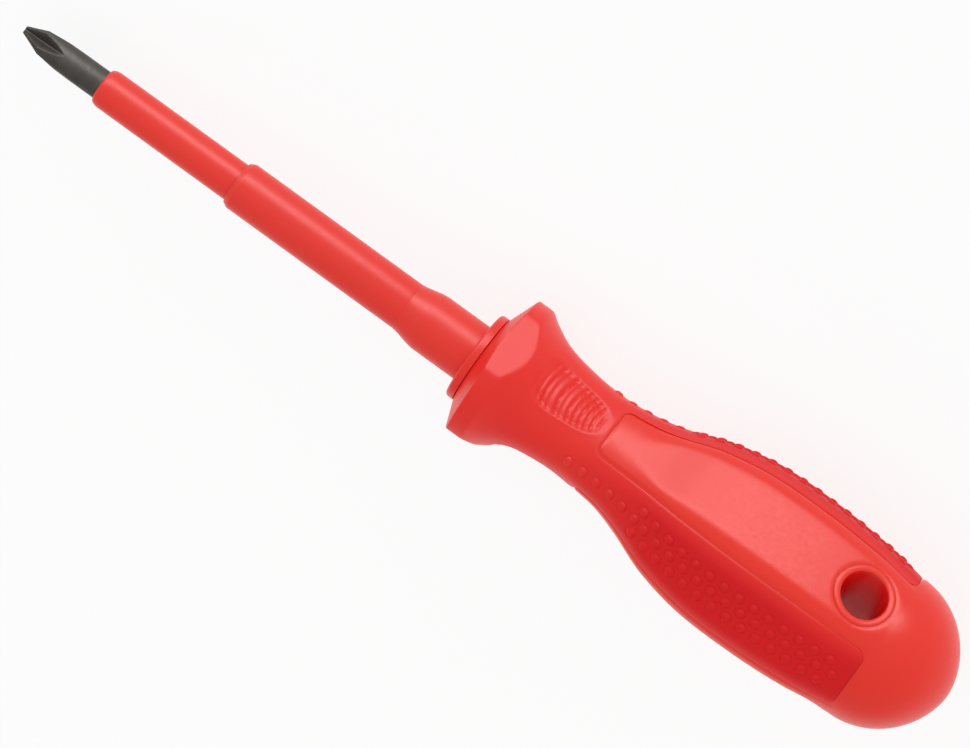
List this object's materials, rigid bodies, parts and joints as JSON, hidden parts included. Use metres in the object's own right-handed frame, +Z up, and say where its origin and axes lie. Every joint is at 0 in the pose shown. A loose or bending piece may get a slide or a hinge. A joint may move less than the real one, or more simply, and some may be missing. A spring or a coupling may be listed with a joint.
{
  "type": "insulated screwdriver",
  "caption": "Insulated cross-head screwdriver: fixed steel blade in stepped insulating sleeves, guard, and a three-lobed moulded handle with a hanging hole.",
  "frame": {"origin": "bottom centre of the bounding box, under the handle face that the tool lies on", "axes": "+X along the blade from the butt to the tip, +Z up out of the surface the tool lies on; the hanging hole slopes 30 degrees up towards -Y"},
  "size_m": [0.2168, 0.036, 0.0339],
  "materials": {
    "blackened_steel": "black-oxide steel, satin",
    "sleeve_plastic": "red insulating plastic, satin",
    "collar_plastic": "red hard plastic, satin",
    "core_plastic": "red hard plastic, unseen",
    "shell_plastic": "orange-red hard plastic, satin, fine moulded texture",
    "soft_rubber": "red soft moulding, matt"
  },
  "bodies": {
    "root": {"blade": "blackened_steel", "inner_sleeve": "sleeve_plastic", "outer_sleeve": "sleeve_plastic", "nose_collar": "collar_plastic", "handle_core": "core_plastic", "handle_shell": "shell_plastic", "soft_grip": "soft_rubber", "hang_eye": "collar_plastic"}
  },
  "joints": []
}
